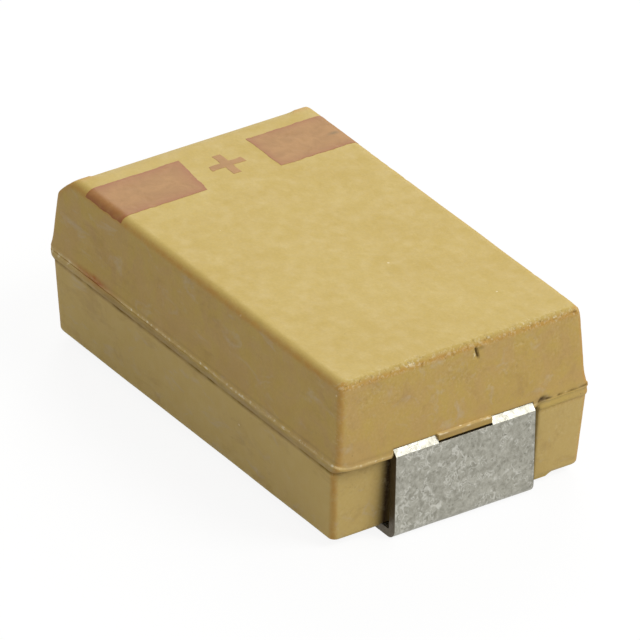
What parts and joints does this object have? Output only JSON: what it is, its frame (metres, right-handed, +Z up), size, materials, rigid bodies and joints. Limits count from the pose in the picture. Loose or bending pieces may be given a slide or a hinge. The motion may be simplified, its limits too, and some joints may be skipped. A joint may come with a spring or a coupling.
{
  "type": "tantalum chip capacitor",
  "caption": "Moulded surface-mount capacitor: a drafted, bevelled resin block with a parting ridge and a polarity band, standing on folded sheet-metal terminals.",
  "frame": {"origin": "middle of the footprint, on the plane of the board that the feet stand on", "axes": "+X along the length towards the cathode end, the polarity band and bevel at -X, +Y across the width, +Z up away from the board"},
  "size_m": [0.0074, 0.0042, 0.0027],
  "materials": {
    "moulded_resin": "matte, silica-filled epoxy, ochre",
    "band_ink": "matte, thin and slightly uneven",
    "tinned_strip": "matte tin plate, lightly scratched",
    "sintered_tantalum": "fine porous sinter",
    "tantalum_wire": "drawn wire, satin",
    "washer_polymer": "smooth white fluoropolymer",
    "manganese_dioxide": "matte black, slightly rough",
    "graphite": "dull graphite with a faint sheen",
    "silver_paint": "brushed-on flake silver, matte",
    "silver_adhesive": "cured silver-filled adhesive, dull",
    "weld_metal": "fused, slightly blued"
  },
  "bodies": {
    "root": {"case": "moulded_resin", "polarity_band": "band_ink", "anode_terminal": "tinned_strip", "cathode_terminal": "tinned_strip", "tantalum_slug": "sintered_tantalum", "anode_wire": "tantalum_wire", "stop_washer": "washer_polymer", "manganese_dioxide_coat": "manganese_dioxide", "graphite_coat": "graphite", "silver_paint_coat": "silver_paint", "silver_adhesive": "silver_adhesive", "weld_bead": "weld_metal"}
  },
  "joints": []
}
